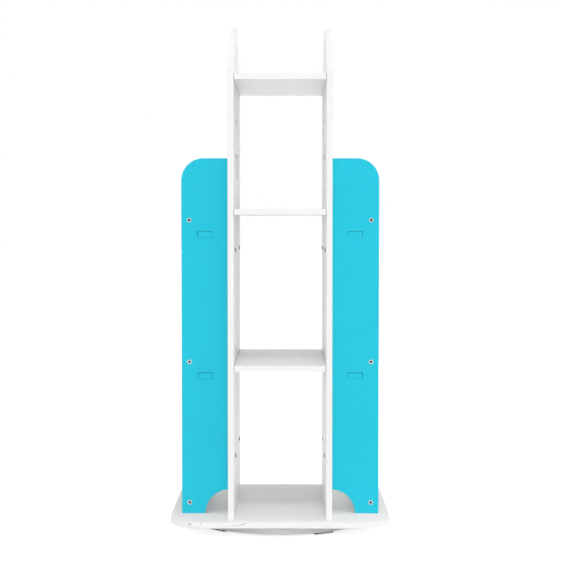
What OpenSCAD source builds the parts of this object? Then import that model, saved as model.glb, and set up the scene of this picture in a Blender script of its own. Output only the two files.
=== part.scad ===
// Revolving bookcase for a child's room: a tower of shelves with book racks on both sides,
// which turns on a low round stand. Millimetres, +Z up, the front faces -Y.
// The origin is on the floor, under the turning axis.

/* [Boards] */
// Thickness of every painted board
board_t = 12; // [10:0.5:16]

/* [Stand] */
// Diameter of the base disc
disc_d = 368; // [340:1:400]
// Length of a foot pad, along the rim of the base disc
pad_l = 42; // [30:1:60]
// Width of a foot pad, across the rim
pad_w = 26; // [16:0.5:36]
// Thickness of a foot pad
pad_t = 4; // [2:0.5:6]
// Corner radius of a foot pad
pad_corner_r = 3; // [1:0.5:6]
// Distance from the rim of the base disc to the middle of a foot pad's long side
pad_inset = 5; // [3:0.5:12]
// Angle between the two front foot pads, and between the two back ones
pad_spread = 77; // [50:1:120]
// Turn of the stand about its axis, towards the right
stand_turn = -8; // [-45:1:45]

/* [Bearing] */
// Height of the bearing, from base disc to turntable plate
bearing_h = 8; // [7:0.5:12]
// Radius of the circle that the ball centres run on
ball_circle_r = 110; // [102:0.5:112]
// Diameter of a ball
ball_d = 4; // [3:0.1:4.5]
// Number of balls
ball_count = 24; // [12:1:36]
// Radial width of each bearing ring
ring_w = 19; // [16:0.5:21]
// Radial gap between the two rings
ring_gap = 2.4; // [2:0.1:3]
// Gap between a ring and the board that it turns past
ring_lift = 1; // [0.5:0.1:1.5]
// Gap between a ball and its race
race_clear = 0.3; // [0.1:0.05:0.4]
// Wall of the ball retainer
retainer_t = 1.2; // [0.8:0.1:1.4]
// Gap between the ball retainer and the boards above and below it
retainer_lift = 0.5; // [0.3:0.1:0.8]
// Gap around a ball in its pocket of the retainer
pocket_clear = 0.15; // [0.1:0.05:0.3]
// Diameter of the hole in the base disc that gives access to the outer ring's screws
access_d = 12; // [10:0.5:14]

/* [Turntable] */
// Margin of the turntable plate around what stands on it
plate_margin = 21.5; // [15:0.5:40]
// Radius of the turntable plate's corners
plate_corner_r = 75; // [30:1:90]

/* [Tower] */
// Outside width over the two side panels
tower_w = 208; // [196:1:230]
// Depth of the side panels and shelves, front to back
tower_d = 400; // [380:1:440]
// Height of the side panels' front and back edges
eave_h = 901.5; // [870:0.5:950]
// Rise of the side panels' tips above those edges
gable_rise = 100; // [85:1:130]
// Radius of the rounded tips
tip_r = 80; // [20:1:84]
// Clear height under the lower shelf
lower_bay_h = 297.5; // [260:0.5:310]
// Clear height between the lower and the middle shelf
middle_bay_h = 300; // [260:0.5:320]
// Drop of the top shelf's upper face below the panels' front and back edges
top_shelf_drop = 12; // [5:0.5:40]

/* [Windows] */
// Length of a window slot, front to back
window_l = 200; // [120:1:220]
// Height of a window slot
window_h = 54; // [30:0.5:58]
// Corner radius of a window slot
window_corner_r = 8; // [3:0.5:14]
// Height of the lower window slot's lower edge above the turntable
window_sill_h = 684; // [670:0.5:695]
// Width of the bridge between the two window slots
window_bridge = 22; // [15:0.5:30]

/* [Wings] */
// Width of a wing, from the side panel outwards
wing_w = 97; // [90:0.5:115]
// Height of a wing
wing_h = 725; // [660:1:800]
// Clear distance between the front and the back wings
wing_gap = 228; // [200:1:250]
// Radius of a wing's outer top corner
wing_corner_r = 45; // [15:1:70]
// Radius of the arch at a wing's inner foot
arch_r = 49; // [30:0.5:52]

/* [Racks] */
// Height from one rack tier's seat to the next
tier_pitch = 288.5; // [270:0.5:310]
// Height of a rack lip
lip_h = 45; // [35:0.5:70]
// Distance from a wing's outer edge to the lips
lip_inset = 10; // [4:0.5:14]
// Width of the tenons at a ledge's ends
tenon_w = 30; // [20:0.5:40]
// Gap around a tenon in its slot
tenon_clear = 0.4; // [0.2:0.05:0.6]

/* [Screws and dowels] */
// Shank diameter of a joinery screw
screw_d = 5; // [4:0.1:6]
// Length of a joinery screw
screw_l = 40; // [34:0.5:44]
// Head diameter of a joinery screw
screw_head_d = 9.6; // [8:0.1:10]
// Width across the flats of a joinery screw's hexagon socket
socket_af = 4.6; // [3:0.1:5]
// Depth of the hexagon socket
socket_l = 3; // [2:0.1:4]
// Shank diameter of a ring screw
ring_screw_d = 3.5; // [3:0.1:4]
// Length of a ring screw
ring_screw_l = 15; // [13:0.5:16]
// Head diameter of a ring screw
ring_screw_head_d = 7; // [6:0.1:8]
// Number of screws in each bearing ring
ring_screw_count = 6; // [4:1:8]
// Length of the arms of a ring screw's cross recess, from end to end
recess_span = 4.2; // [3:0.1:5]
// Width of those arms
recess_w = 1; // [0.6:0.1:1.4]
// Depth of the cross recess
recess_l = 1.4; // [1:0.1:1.8]
// Gap around screws and dowels in their holes
hole_clear = 0.1; // [0.05:0.01:0.2]
// Distance of the outer row of screws from the tower's front and back edges
edge_screw_inset = 35; // [25:1:50]
// Distance of the inner row of plate screws from the tower's front and back edges
inner_screw_inset = 100; // [80:1:105]
// Height of the lower screw that holds a wing to its side panel
low_wing_screw_h = 118; // [80:1:200]
// Height of the upper screw that holds a wing to its side panel
high_wing_screw_h = 539; // [450:1:620]
// Distance of a foot screw from the edge of the arch
foot_screw_inset = 15; // [8:0.5:18]
// Diameter of a shelf dowel
dowel_d = 6; // [5:0.5:7]
// Length of a shelf dowel
dowel_l = 20; // [16:0.5:26]
// Depth of a shelf dowel in its side panel
dowel_seat = 8; // [5:0.5:9]
// Chamfer at a shelf dowel's ends
dowel_chamfer = 0.8; // [0.4:0.1:1.2]

/* [Hidden] */
$fn = 96;
white_paint = [0.95, 0.95, 0.95];
cyan_paint = [0.18, 0.79, 0.89];
grey_rubber = [0.68, 0.68, 0.69];
black_zinc = [0.33, 0.33, 0.34];
bright_steel = [0.66, 0.67, 0.69];
bare_aluminium = [0.78, 0.79, 0.80];
dark_zinc = [0.45, 0.45, 0.47];
nylon = [0.88, 0.87, 0.82];
beech = [0.80, 0.64, 0.44];

// Cuts start this far outside the face that they open.
overcut = 1;
// Straight steps that make up the round tip of a side panel
tip_steps = 24;

// Stand
pad_mid_r = disc_d / 2 - pad_inset - pad_w / 2;

// Levels, from the floor up
disc_bottom = pad_t;
disc_top = disc_bottom + board_t;
plate_bottom = disc_top + bearing_h;
plate_top = plate_bottom + board_t;
ball_z = disc_top + bearing_h / 2;

// Plan of the carousel
panel_out_x = tower_w / 2;
panel_in_x = panel_out_x - board_t;
panel_mid_x = panel_out_x - board_t / 2;
wing_out_x = panel_out_x + wing_w;
wing_in_y = wing_gap / 2;
wing_out_y = wing_in_y + board_t;
plate_w = max(2 * wing_out_x, tower_d) + 2 * plate_margin;

// Shelves and racks, as heights above the turntable
lower_shelf_h = lower_bay_h + board_t;
middle_shelf_h = lower_shelf_h + middle_bay_h + board_t;
top_shelf_h = eave_h - top_shelf_drop;
shelf_heights = [lower_shelf_h, middle_shelf_h, top_shelf_h];
ledge_heights = [tier_pitch, 2 * tier_pitch];
seat_heights = [0, tier_pitch, 2 * tier_pitch];
window_sills = [window_sill_h, window_sill_h + window_h + window_bridge];
lip_out_x = wing_out_x - lip_inset;
lip_mid_x = lip_out_x - board_t / 2;
tenon_mid_x = panel_out_x + wing_w / 2;

// Gabled top of a side panel: straight slopes that run tangent into the round tip
apex_h = eave_h + gable_rise;
tip_centre_h = apex_h - tip_r;
tip_offset_h = tip_centre_h - eave_h;
eave_to_tip = sqrt(pow(tower_d / 2, 2) + pow(tip_offset_h, 2));
gable_slope = atan2(tip_offset_h, tower_d / 2) + asin(tip_r / eave_to_tip);

// Bearing
inner_ring_out_r = ball_circle_r - ring_gap / 2;
outer_ring_in_r = ball_circle_r + ring_gap / 2;
inner_screw_r = inner_ring_out_r - ring_w / 2;
outer_screw_r = outer_ring_in_r + ring_w / 2;
ring_h = bearing_h - ring_lift;
// The access hole is at the back.
access_turn = 90;

// Fasteners
screw_head_h = (screw_head_d - screw_d) / 2;
screw_tip_l = screw_d / 2;
ring_screw_head_h = (ring_screw_head_d - ring_screw_d) / 2;
ring_screw_tip_l = ring_screw_d;
edge_screw_y = tower_d / 2 - edge_screw_inset;
inner_screw_y = tower_d / 2 - inner_screw_inset;
wing_screw_heights = [low_wing_screw_h, high_wing_screw_h];
foot_screw_x = panel_out_x + arch_r + foot_screw_inset;

// Sides and faces: pieces are drawn on the right (+X) and at the front (-Y), and mirrored from there.
left = -1;
right = 1;
front = -1;
back = 1;

module on_side(side) {
    if (side == right) children();
    else mirror([1, 0, 0]) children();
}

module on_face(face) {
    if (face == front) children();
    else mirror([0, 1, 0]) children();
}

module on_both_sides() {
    for (side = [left, right]) on_side(side) children();
}

module on_both_faces() {
    for (face = [front, back]) on_face(face) children();
}

// Boards

module rounded_rect(size, r) {
    union() {
        square([size.x, size.y - 2 * r], center = true);
        square([size.x - 2 * r, size.y], center = true);
        for (sx = [-1, 1], sy = [-1, 1])
            translate([sx * (size.x / 2 - r), sy * (size.y / 2 - r)]) circle(r = r);
    }
}

// Board that stands across the tower's width: the outline's x runs along X and its y along Z.
module board_across(y_min) {
    translate([0, y_min + board_t, plate_top]) rotate([90, 0, 0]) linear_extrude(board_t) children();
}

// Board that stands along the tower's depth: the outline's x runs along Y and its y along Z.
module board_along(x_min) {
    translate([x_min, 0, plate_top]) rotate([90, 0, 90]) linear_extrude(board_t) children();
}

// Screws and dowels: each is drawn with its head or outer end at the origin and runs into +Z.

function screw_profile(d, l, head_d, head_h, tip_l) = [
    [0, 0], [head_d / 2, 0], [d / 2, head_h], [d / 2, l - tip_l], [0, l]
];

function screw_hole_profile(d, l, head_d, head_h) = [
    [0, -overcut], [head_d / 2 + hole_clear, -overcut], [head_d / 2 + hole_clear, 0],
    [d / 2 + hole_clear, head_h], [d / 2 + hole_clear, l + hole_clear], [0, l + hole_clear]
];

module joinery_screw() {
    difference() {
        rotate_extrude() polygon(screw_profile(screw_d, screw_l, screw_head_d, screw_head_h, screw_tip_l));
        translate([0, 0, -overcut]) cylinder(d = socket_af / cos(30), h = socket_l + overcut, $fn = 6);
    }
}

module joinery_hole() {
    rotate_extrude() polygon(screw_hole_profile(screw_d, screw_l, screw_head_d, screw_head_h));
}

module ring_screw() {
    difference() {
        rotate_extrude() polygon(screw_profile(
            ring_screw_d, ring_screw_l, ring_screw_head_d, ring_screw_head_h, ring_screw_tip_l));
        for (turn = [0, 90]) rotate(turn)
            translate([-recess_span / 2, -recess_w / 2, -overcut])
                cube([recess_span, recess_w, recess_l + overcut]);
    }
}

module ring_hole() {
    rotate_extrude() polygon(screw_hole_profile(
        ring_screw_d, ring_screw_l, ring_screw_head_d, ring_screw_head_h));
}

module dowel() {
    rotate_extrude() polygon([
        [0, 0], [dowel_d / 2 - dowel_chamfer, 0], [dowel_d / 2, dowel_chamfer],
        [dowel_d / 2, dowel_l - dowel_chamfer], [dowel_d / 2 - dowel_chamfer, dowel_l], [0, dowel_l]
    ]);
}

module dowel_hole() {
    translate([0, 0, -hole_clear]) cylinder(d = dowel_d + 2 * hole_clear, h = dowel_l + 2 * hole_clear);
}

// Places of the fasteners, at the right front

module at_lip_screws() {
    for (h = seat_heights) translate([lip_mid_x, -wing_out_y, plate_top + h + lip_h / 2])
        rotate([-90, 0, 0]) children();
}

module at_wing_screws() {
    for (h = wing_screw_heights) translate([panel_in_x, -(wing_in_y + wing_out_y) / 2, plate_top + h])
        rotate([0, 90, 0]) children();
}

module at_foot_screws() {
    translate([foot_screw_x, -(wing_in_y + wing_out_y) / 2, plate_bottom]) children();
}

module at_panel_screws() {
    for (y = [edge_screw_y, inner_screw_y]) translate([panel_mid_x, -y, plate_bottom]) children();
}

module at_shelf_screws(heights) {
    for (h = heights) translate([panel_out_x, -edge_screw_y, plate_top + h - board_t / 2])
        rotate([0, -90, 0]) children();
}

module at_shelf_dowels(heights) {
    for (h = heights) translate([panel_in_x + dowel_seat, 0, plate_top + h - board_t / 2])
        rotate([0, -90, 0]) children();
}

module at_inner_ring_screws() {
    for (i = [0:ring_screw_count - 1]) rotate(i * 360 / ring_screw_count)
        translate([inner_screw_r, 0, disc_top + ring_h]) rotate([180, 0, 0]) children();
}

module at_outer_ring_screws() {
    for (i = [0:ring_screw_count - 1]) rotate(access_turn + i * 360 / ring_screw_count)
        translate([outer_screw_r, 0, plate_bottom - ring_h]) children();
}

// Stand

module foot_pads() {
    color(grey_rubber)
        for (half = [0, 180], side = [left, right]) rotate(stand_turn + half + side * pad_spread / 2)
            translate([0, -pad_mid_r, 0]) linear_extrude(pad_t) rounded_rect([pad_l, pad_w], pad_corner_r);
}

module base_disc() {
    color(white_paint) difference() {
        translate([0, 0, disc_bottom]) cylinder(d = disc_d, h = board_t);
        rotate(access_turn) translate([outer_screw_r, 0, disc_bottom - overcut])
            cylinder(d = access_d, h = board_t + 2 * overcut);
        at_inner_ring_screws() ring_hole();
    }
}

module race_cut() {
    translate([ball_circle_r, ball_z]) circle(d = ball_d + 2 * race_clear);
}

module bearing_inner_ring() {
    color(bare_aluminium) difference() {
        rotate_extrude() difference() {
            translate([inner_ring_out_r - ring_w, disc_top]) square([ring_w, ring_h]);
            race_cut();
        }
        at_inner_ring_screws() ring_hole();
    }
}

module inner_ring_screws() {
    color(dark_zinc) at_inner_ring_screws() ring_screw();
}

// Balls and their retainer

module at_balls() {
    for (i = [0:ball_count - 1]) rotate(i * 360 / ball_count) translate([ball_circle_r, 0, ball_z]) children();
}

module ball_retainer() {
    retainer_h = bearing_h - 2 * retainer_lift;
    color(nylon) difference() {
        rotate_extrude() translate([ball_circle_r - retainer_t / 2, disc_top + retainer_lift])
            square([retainer_t, retainer_h]);
        at_balls() rotate([0, 90, 0])
            cylinder(d = ball_d + 2 * pocket_clear, h = 2 * retainer_t, center = true);
    }
}

module bearing_balls() {
    color(bright_steel) at_balls() sphere(d = ball_d);
}

// Carousel

module bearing_outer_ring() {
    color(bare_aluminium) difference() {
        rotate_extrude() difference() {
            translate([outer_ring_in_r, plate_bottom - ring_h]) square([ring_w, ring_h]);
            race_cut();
        }
        at_outer_ring_screws() ring_hole();
    }
}

module outer_ring_screws() {
    color(dark_zinc) at_outer_ring_screws() ring_screw();
}

module turntable_plate() {
    color(white_paint) difference() {
        translate([0, 0, plate_bottom]) linear_extrude(board_t)
            rounded_rect([plate_w, plate_w], plate_corner_r);
        on_both_sides() on_both_faces() at_panel_screws() joinery_hole();
        on_both_sides() on_both_faces() at_foot_screws() joinery_hole();
        at_outer_ring_screws() ring_hole();
    }
}

module gable_outline() {
    tip = [
        for (i = [0:tip_steps]) let (turn = gable_slope * (1 - 2 * i / tip_steps))
            [tip_r * sin(turn), tip_centre_h + tip_r * cos(turn)]
    ];
    polygon(concat([[-tower_d / 2, 0], [tower_d / 2, 0], [tower_d / 2, eave_h]],
        tip, [[-tower_d / 2, eave_h]]));
}

module side_panel(side) {
    color(white_paint) on_side(side) difference() {
        board_along(panel_in_x) difference() {
            gable_outline();
            for (sill = window_sills) translate([0, sill + window_h / 2])
                rounded_rect([window_l, window_h], window_corner_r);
        }
        on_both_faces() at_wing_screws() joinery_hole();
        on_both_faces() at_panel_screws() joinery_hole();
        on_both_faces() at_shelf_screws(shelf_heights) joinery_hole();
        at_shelf_dowels(shelf_heights) dowel_hole();
    }
}

module shelf(h) {
    color(white_paint) difference() {
        translate([-panel_in_x, -tower_d / 2, plate_top + h - board_t])
            cube([2 * panel_in_x, tower_d, board_t]);
        on_both_sides() on_both_faces() at_shelf_screws([h]) joinery_hole();
        on_both_sides() at_shelf_dowels([h]) dowel_hole();
    }
}

module wing_outline() {
    round_x = wing_out_x - wing_corner_r;
    difference() {
        union() {
            translate([panel_out_x, 0]) square([wing_w, wing_h - wing_corner_r]);
            translate([panel_out_x, 0]) square([wing_w - wing_corner_r, wing_h]);
            translate([round_x, wing_h - wing_corner_r]) circle(r = wing_corner_r);
        }
        translate([panel_out_x, 0]) circle(r = arch_r);
        for (h = ledge_heights)
            translate([tenon_mid_x - tenon_w / 2 - tenon_clear, h - board_t - tenon_clear])
                square([tenon_w + 2 * tenon_clear, board_t + 2 * tenon_clear]);
    }
}

module wing(side, face) {
    color(cyan_paint) on_side(side) on_face(face) difference() {
        board_across(-wing_out_y) wing_outline();
        at_lip_screws() joinery_hole();
        at_wing_screws() joinery_hole();
        at_foot_screws() joinery_hole();
    }
}

module ledge(side, h) {
    color(cyan_paint) on_side(side) translate([0, 0, plate_top + h - board_t]) union() {
        translate([panel_out_x, -wing_in_y, 0]) cube([lip_out_x - panel_out_x, wing_gap, board_t]);
        translate([tenon_mid_x - tenon_w / 2, -wing_out_y, 0]) cube([tenon_w, 2 * wing_out_y, board_t]);
    }
}

module lip(side, seat) {
    color(cyan_paint) on_side(side) difference() {
        translate([lip_out_x - board_t, -wing_in_y, plate_top + seat]) cube([board_t, wing_gap, lip_h]);
        on_both_faces() at_lip_screws() joinery_hole();
    }
}

// Fasteners of the carousel

module lip_screws() {
    color(bright_steel) on_both_sides() on_both_faces() at_lip_screws() joinery_screw();
}

module wing_screws() {
    color(black_zinc) on_both_sides() on_both_faces() at_wing_screws() joinery_screw();
}

module foot_screws() {
    color(bright_steel) on_both_sides() on_both_faces() at_foot_screws() joinery_screw();
}

module panel_screws() {
    color(bright_steel) on_both_sides() on_both_faces() at_panel_screws() joinery_screw();
}

module shelf_screws() {
    color(bright_steel) on_both_sides() on_both_faces() at_shelf_screws(shelf_heights) joinery_screw();
}

module shelf_dowels() {
    color(beech) on_both_sides() at_shelf_dowels(shelf_heights) dowel();
}

foot_pads();
base_disc();
bearing_inner_ring();
inner_ring_screws();
ball_retainer();
bearing_balls();
bearing_outer_ring();
outer_ring_screws();
turntable_plate();
side_panel(left);  // left_side_panel
side_panel(right);  // right_side_panel
shelf(lower_shelf_h);  // lower_shelf
shelf(middle_shelf_h);  // middle_shelf
shelf(top_shelf_h);  // top_shelf
wing(left, front);  // front_left_wing
wing(right, front);  // front_right_wing
wing(left, back);  // back_left_wing
wing(right, back);  // back_right_wing
ledge(left, ledge_heights[0]);  // left_lower_ledge
ledge(left, ledge_heights[1]);  // left_upper_ledge
ledge(right, ledge_heights[0]);  // right_lower_ledge
ledge(right, ledge_heights[1]);  // right_upper_ledge
lip(left, seat_heights[0]);  // left_bottom_lip
lip(left, seat_heights[1]);  // left_middle_lip
lip(left, seat_heights[2]);  // left_top_lip
lip(right, seat_heights[0]);  // right_bottom_lip
lip(right, seat_heights[1]);  // right_middle_lip
lip(right, seat_heights[2]);  // right_top_lip
lip_screws();
wing_screws();
foot_screws();
panel_screws();
shelf_screws();
shelf_dowels();
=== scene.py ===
"""Looks of a revolving bookcase for a child's room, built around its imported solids.

Each painted board is a welded copy of its solid with eased edges. The screws and the bearing balls come
from node trees, and every piece is dressed in a procedural finish. Lengths are in metres, +Z is up and
the front faces -Y.
"""

import logging
import math
from abc import ABC, abstractmethod
from collections.abc import Callable
from dataclasses import dataclass, field, replace
from enum import Enum
from functools import cache
from typing import ClassVar

import bmesh
import bpy
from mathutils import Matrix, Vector


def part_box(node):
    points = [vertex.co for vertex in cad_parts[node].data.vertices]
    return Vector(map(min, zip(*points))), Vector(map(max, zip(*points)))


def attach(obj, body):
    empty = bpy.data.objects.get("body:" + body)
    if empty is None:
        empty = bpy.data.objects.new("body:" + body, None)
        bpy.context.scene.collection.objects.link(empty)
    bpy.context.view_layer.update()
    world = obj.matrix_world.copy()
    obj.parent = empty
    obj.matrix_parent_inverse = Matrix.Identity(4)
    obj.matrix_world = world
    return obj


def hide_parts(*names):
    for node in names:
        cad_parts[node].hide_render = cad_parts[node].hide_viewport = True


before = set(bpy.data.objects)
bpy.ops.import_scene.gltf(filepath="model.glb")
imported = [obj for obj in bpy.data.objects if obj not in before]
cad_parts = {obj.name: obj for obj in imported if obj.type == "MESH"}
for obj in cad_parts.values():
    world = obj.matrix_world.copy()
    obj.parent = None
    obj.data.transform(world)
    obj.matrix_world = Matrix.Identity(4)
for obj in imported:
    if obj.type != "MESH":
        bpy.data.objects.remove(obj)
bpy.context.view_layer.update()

LOG = logging.getLogger("bookcase")
MM = 0.001
WELD_DISTANCE = 0.001 * MM
EASED = "eased"
# Faces at a shelf's seams, which the paint darkens as painted shade.
SEAM = "seam"
CAPPED = "capped"
INTO = "into"
TURN = "turn"
# Faces of a screw's recess, which the finish darkens as painted shade.
RECESS = "recess"
NUMBER = "NodeSocketFloat"

Colour = tuple[float, float, float]
Point = tuple[float, float, float]
Span = tuple[float, float]
Socket = bpy.types.NodeSocket
Tree = bpy.types.NodeTree
Reshape = Callable[[bmesh.types.BMesh], None]


class NodeSketch:
    """Adds nodes to one node tree and joins them."""

    MIX_COLOURS = (6, 7)
    MIX_RESULT = 2

    def __init__(self, tree: Tree) -> None:
        """Starts on a tree that exists."""
        self.tree = tree

    def feed(self, node: bpy.types.Node, inputs: dict) -> None:
        """Gives inputs of a node their sources or values.

        Args:
            node: A node of the tree.
            inputs: A source, a value or a plain colour for each input, by the input's name or number.
        """
        for key, value in inputs.items():
            socket = node.inputs[key]
            if isinstance(value, bpy.types.NodeSocket):
                self.tree.links.new(value, socket)
            else:
                socket.default_value = (*value, 1.0) if socket.type == "RGBA" else value

    def add(self, kind: str, inputs: dict | None = None, **settings: object) -> bpy.types.Node:
        """Adds a node.

        Args:
            kind: The node type's name.
            inputs: What its inputs are fed.
            settings: Properties of the node.

        Returns:
            The new node.
        """
        node = self.tree.nodes.new(kind)
        for name, value in settings.items():
            setattr(node, name, value)
        self.feed(node, inputs or {})
        return node

    def math(self, operation: str, *values: object, clamp: bool = False) -> Socket:
        """Adds a sum of one to three numbers, whose result may be kept between 0 and 1."""
        node = self.add("ShaderNodeMath", dict(enumerate(values)), operation=operation, use_clamp=clamp)
        return node.outputs["Value"]

    def vector_math(self, operation: str, *values: object, out: str = "Value") -> Socket:
        """Adds a sum of one or two vectors, and gives its output of a given name."""
        return self.add("ShaderNodeVectorMath", dict(enumerate(values)), operation=operation).outputs[out]

    def mix(self, share: object, first: object, second: object) -> Socket:
        """Mixes two colours, of which the second shows by the share."""
        colours = dict(zip(self.MIX_COLOURS, (first, second)))
        return self.add("ShaderNodeMix", {0: share} | colours, data_type="RGBA").outputs[self.MIX_RESULT]

    def give(self, kind: str, results: dict[str, Socket]) -> Tree:
        """Ends a node group.

        Args:
            kind: Socket type of its outputs.
            results: Source of each named output.

        Returns:
            The group.
        """
        for name in results:
            self.tree.interface.new_socket(name, in_out="OUTPUT", socket_type=kind)
        self.add("NodeGroupOutput", results)
        return self.tree


class ShaderSketch(NodeSketch):
    """A shader tree whose patterns are read at the coordinates that it starts from."""

    def __init__(self, tree: Tree, start: str, where: str) -> None:
        """Starts on a tree.

        Args:
            tree: A tree without nodes.
            start: Type of the node that gives the coordinates.
            where: Name of the coordinates among that node's outputs.
        """
        super().__init__(tree)
        self.given = self.add(start).outputs
        self.where = self.given[where]

    def stretched(self, scale: Point) -> Socket:
        """Scales the coordinates along their axes, for grain and streaks."""
        return self.add("ShaderNodeMapping", {"Vector": self.where, "Scale": scale}).outputs["Vector"]

    def noise(
            self, scale: object, detail: float = 2.0, roughness: float = 0.5,
            stretch: Point | None = None) -> Socket:
        """Adds a noise pattern.

        Args:
            scale: Features per metre.
            detail: Number of finer layers.
            roughness: Strength of the finer layers.
            stretch: Scale of the coordinates along each axis.

        Returns:
            The socket of a value around one half.
        """
        where = self.stretched(stretch) if stretch else self.where
        inputs = {"Vector": where, "Scale": scale, "Detail": detail, "Roughness": roughness}
        return self.add("ShaderNodeTexNoise", inputs).outputs["Fac"]

    def ramp(self, value: object, span: Span, to: Span = (0.0, 1.0)) -> Socket:
        """Maps a value smoothly from one span to another."""
        inputs = {"Value": value, "From Min": span[0], "From Max": span[1], "To Min": to[0], "To Max": to[1]}
        return self.add("ShaderNodeMapRange", inputs, interpolation_type="SMOOTHSTEP").outputs["Result"]

    def attribute(self, name: str) -> Socket:
        """Reads a value that the mesh stores."""
        return self.add("ShaderNodeAttribute", attribute_name=name).outputs["Fac"]

    def place(self, effect: Callable[[], Tree], **values: object) -> bpy.types.bpy_prop_collection:
        """Places a shared effect, with a value or a source for each input by name, and gives its outputs."""
        inputs = {name.replace("_", " ").title(): value for name, value in values.items()}
        return self.add("ShaderNodeGroup", {"Vector": self.where} | inputs, node_tree=effect()).outputs


def effect_sketch(name: str, numbers: tuple[str, ...], points: tuple[str, ...] = ()) -> ShaderSketch:
    """Starts the shader node group of an effect that several finishes share.

    Args:
        name: Name of the group.
        numbers: Names of its number inputs.
        points: Names of its vector inputs, besides Vector.

    Returns:
        A sketch of the group.
    """
    tree = bpy.data.node_groups.new(name, "ShaderNodeTree")
    kinds = dict.fromkeys(("Vector", *points), "NodeSocketVector") | dict.fromkeys(numbers, NUMBER)
    for key, kind in kinds.items():
        tree.interface.new_socket(key, in_out="INPUT", socket_type=kind)
    LOG.info("effect %s", name)
    return ShaderSketch(tree, "NodeGroupInput", "Vector")


@cache
def paint_film() -> Tree:
    """Sprayed paint: tone drift with a finer cloudiness, and the dimples of orange peel, coarse and fine.

    Returns:
        The group, which gives Tone and Peel.
    """
    sketch = effect_sketch("paint film", ("Drift Scale", "Peel Scale"))
    results = {}
    for name, scale, finer, share, detail, fine_detail in (
            ("Tone", "Drift Scale", 9.0, 0.65, 3.0, 2.0), ("Peel", "Peel Scale", 4.0, 0.75, 1.0, 1.0)):
        coarse = sketch.noise(sketch.given[scale], detail)
        fine = sketch.noise(sketch.math("MULTIPLY", sketch.given[scale], finer), fine_detail)
        fine_share = sketch.math("MULTIPLY", fine, 1.0 - share)
        results[name] = sketch.math("ADD", sketch.math("MULTIPLY", coarse, share), fine_share)
    return sketch.give(NUMBER, results)


def masked(sketch: ShaderSketch, first: Socket, second: Socket) -> Tree:
    """Ends an effect with a Mask: two patterns times its Amount."""
    both = sketch.math("MULTIPLY", first, second)
    return sketch.give(NUMBER, {"Mask": sketch.math("MULTIPLY", both, sketch.given["Amount"], clamp=True)})


@cache
def edge_rub() -> Tree:
    """Wear that breaks up along the eased edges and leaves the faces alone.

    Returns:
        The group, which gives a Mask.
    """
    bare = (0.42, 0.7)
    sketch = effect_sketch("edge rub", ("Scale", "Amount"))
    broken = sketch.ramp(sketch.noise(sketch.given["Scale"], detail=4.0), bare)
    return masked(sketch, sketch.attribute(EASED), broken)


@cache
def settled_dust() -> Tree:
    """Dust that settles on the faces that look up.

    Returns:
        The group, which gives a Mask.
    """
    flat, lying = (0.6, 0.98), (0.35, 0.75)
    sketch = effect_sketch("settled dust", ("Scale", "Amount"))
    normal = sketch.add("ShaderNodeNewGeometry").outputs["Normal"]
    up = sketch.ramp(sketch.add("ShaderNodeSeparateXYZ", {0: normal}).outputs["Z"], flat)
    dust = sketch.ramp(sketch.noise(sketch.given["Scale"], detail=6.0, roughness=0.65), lying)
    return masked(sketch, up, dust)


@cache
def scuff() -> Tree:
    """One ragged stroke from a start to an end, as a hard corner leaves on paint.

    Returns:
        The group, which gives a Mask.
    """
    frayed = (0.5, 1.2)
    sketch = effect_sketch("scuff", ("Width", "Grain Scale"), ("Start", "End"))
    given = sketch.given
    offset = sketch.vector_math("SUBTRACT", sketch.where, given["Start"], out="Vector")
    run = sketch.vector_math("SUBTRACT", given["End"], given["Start"], out="Vector")
    reach = sketch.vector_math("DOT_PRODUCT", offset, run)
    along = sketch.math("DIVIDE", reach, sketch.vector_math("DOT_PRODUCT", run, run), clamp=True)
    nearest = sketch.add("ShaderNodeVectorMath", {0: run, "Scale": along}, operation="SCALE")
    away = sketch.vector_math("DISTANCE", offset, nearest.outputs["Vector"])
    grain = sketch.noise(given["Grain Scale"], detail=3.0, roughness=0.7)
    ragged = sketch.math("DIVIDE", away, sketch.math("MULTIPLY", grain, given["Width"]))
    return sketch.give(NUMBER, {"Mask": sketch.ramp(ragged, frayed, (1.0, 0.0))})


@cache
def fine_scratches() -> Tree:
    """Hair scratches in two directions, for plated and polished metal.

    Returns:
        The group, which gives a Mask.
    """
    runs = (((1.0, 12.0, 3.0), (0.6, 0.72)), ((9.0, 1.0, 5.0), (0.62, 0.74)))
    sketch = effect_sketch("fine scratches", ("Scale",))
    masks = [
        sketch.ramp(sketch.noise(sketch.given["Scale"], detail=3.0, stretch=stretch), hair)
        for stretch, hair in runs]
    return sketch.give(NUMBER, {"Mask": sketch.math("MAXIMUM", *masks)})


def cleared_tree(owner: bpy.types.Material | bpy.types.World) -> Tree:
    """Gives a material or a world a node tree without nodes.

    Args:
        owner: The material or the world.

    Returns:
        Its tree.
    """
    owner.use_nodes = True
    owner.node_tree.nodes.clear()
    return owner.node_tree


@dataclass(frozen=True)
class Surface:
    """What a finish feeds its shader: colour, roughness, and a height pattern with its depth."""

    colour: Socket
    roughness: Socket
    height: Socket
    depth: float


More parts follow.
